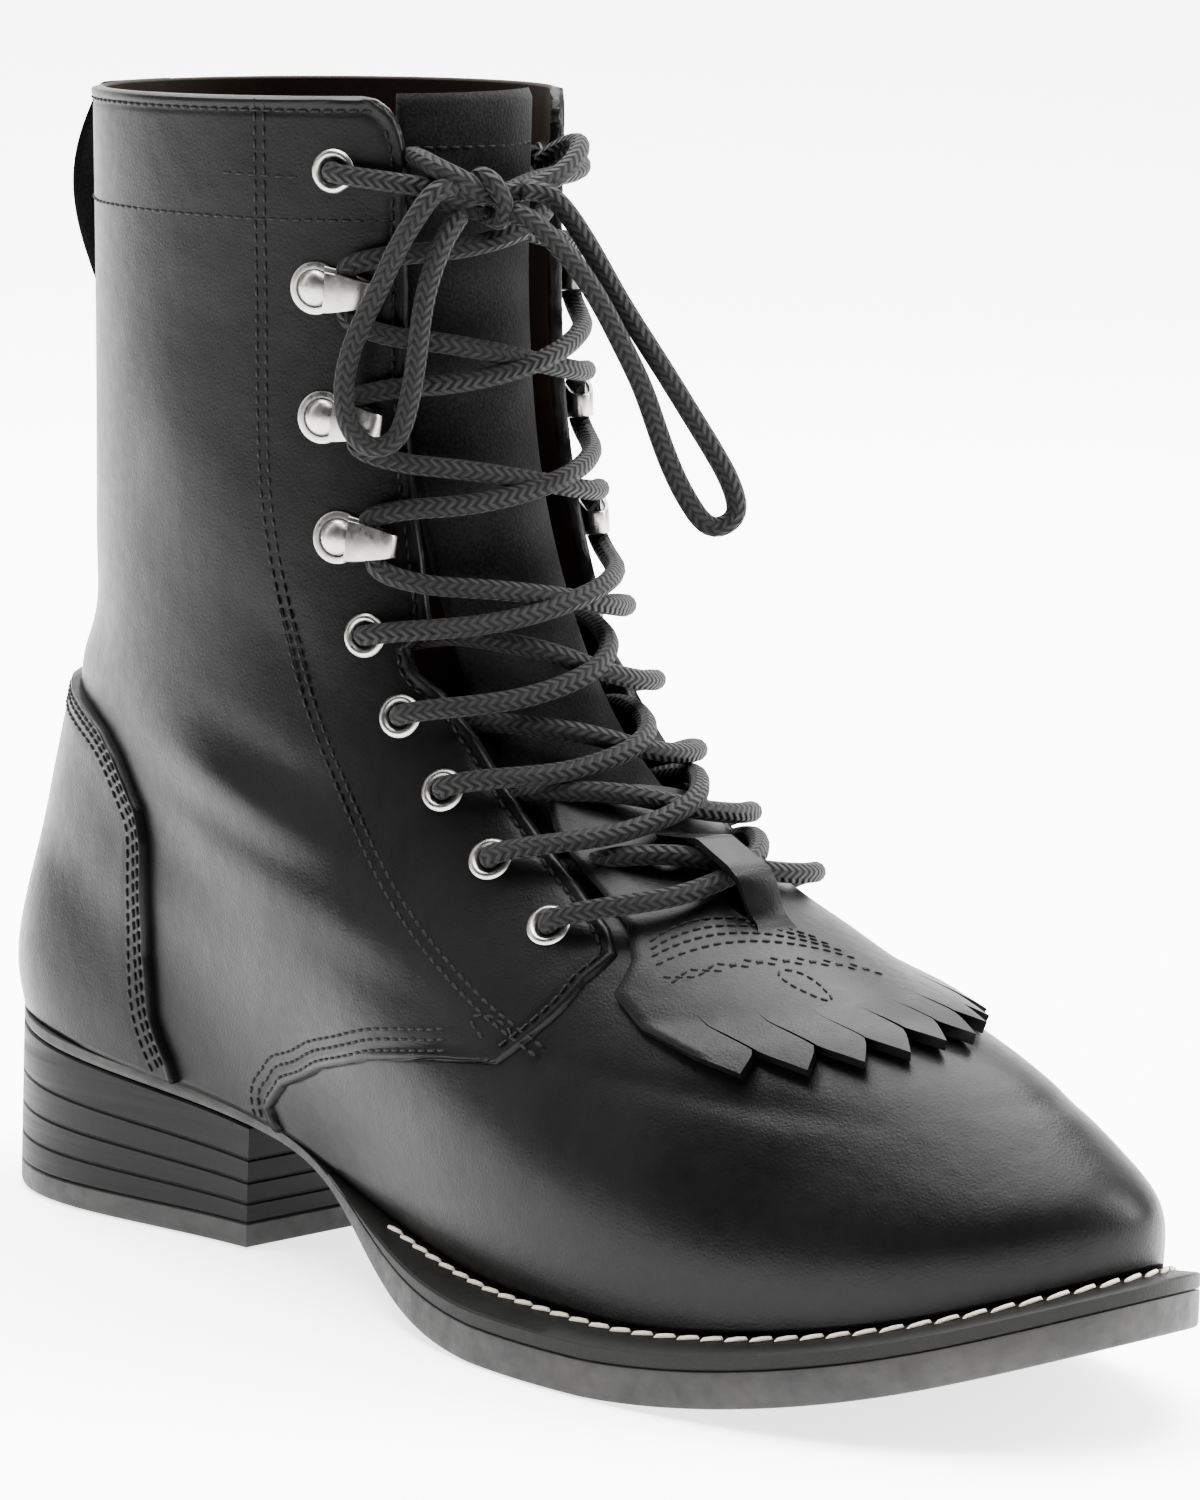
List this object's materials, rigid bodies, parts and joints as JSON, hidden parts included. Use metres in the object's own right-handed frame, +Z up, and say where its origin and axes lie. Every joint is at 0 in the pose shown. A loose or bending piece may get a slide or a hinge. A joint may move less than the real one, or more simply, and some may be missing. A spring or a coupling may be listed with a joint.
{
  "type": "lace-up boot",
  "caption": "Black leather western lace-up boot with a fringed kiltie, speed hooks, a stitched welt and a stacked heel, laced and tied in a bow.",
  "frame": {"origin": "on the floor, at the middle of the heel's underside", "axes": "+X to the toe, +Y to the inner side of a right foot, +Z up"},
  "size_m": [0.3091, 0.1081, 0.2435],
  "materials": {
    "leather": "smooth oiled black leather, satin",
    "suede": "black suede with a short nap, matte",
    "rubber": "dense black rubber, matte",
    "welt": "edge-dyed black welt leather, low satin",
    "heel": "stacked heel lifts, edge-dyed black, low satin",
    "insole": "dark brown leather insole, matte",
    "nickel": "brushed nickel",
    "lace": "black round braid, matte"
  },
  "bodies": {
    "root": {"outsole": "rubber", "welt": "welt", "heel_stack": "heel", "heel_top_lift": "rubber", "insole": "insole", "upper": "leather", "counter": "leather", "tongue": "suede", "kiltie": "leather", "pull_loop": "suede", "eyelet_lateral_1": "nickel", "eyelet_lateral_2": "nickel", "eyelet_lateral_3": "nickel", "eyelet_lateral_4": "nickel", "eyelet_lateral_5": "nickel", "eyelet_lateral_6": "nickel", "eyelet_medial_1": "nickel", "eyelet_medial_2": "nickel", "eyelet_medial_3": "nickel", "eyelet_medial_4": "nickel", "eyelet_medial_5": "nickel", "eyelet_medial_6": "nickel", "hook_lateral_1": "nickel", "hook_lateral_2": "nickel", "hook_lateral_3": "nickel", "hook_medial_1": "nickel", "hook_medial_2": "nickel", "hook_medial_3": "nickel", "lace_crossing_1": "lace", "lace_crossing_2": "lace", "lace_crossing_3": "lace", "lace_crossing_4": "lace", "lace_crossing_5": "lace", "lace_crossing_6": "lace", "lace_crossing_7": "lace", "lace_crossing_8": "lace", "lace_knot": "lace", "lace_loop_left": "lace", "lace_loop_right": "lace"}
  },
  "joints": []
}
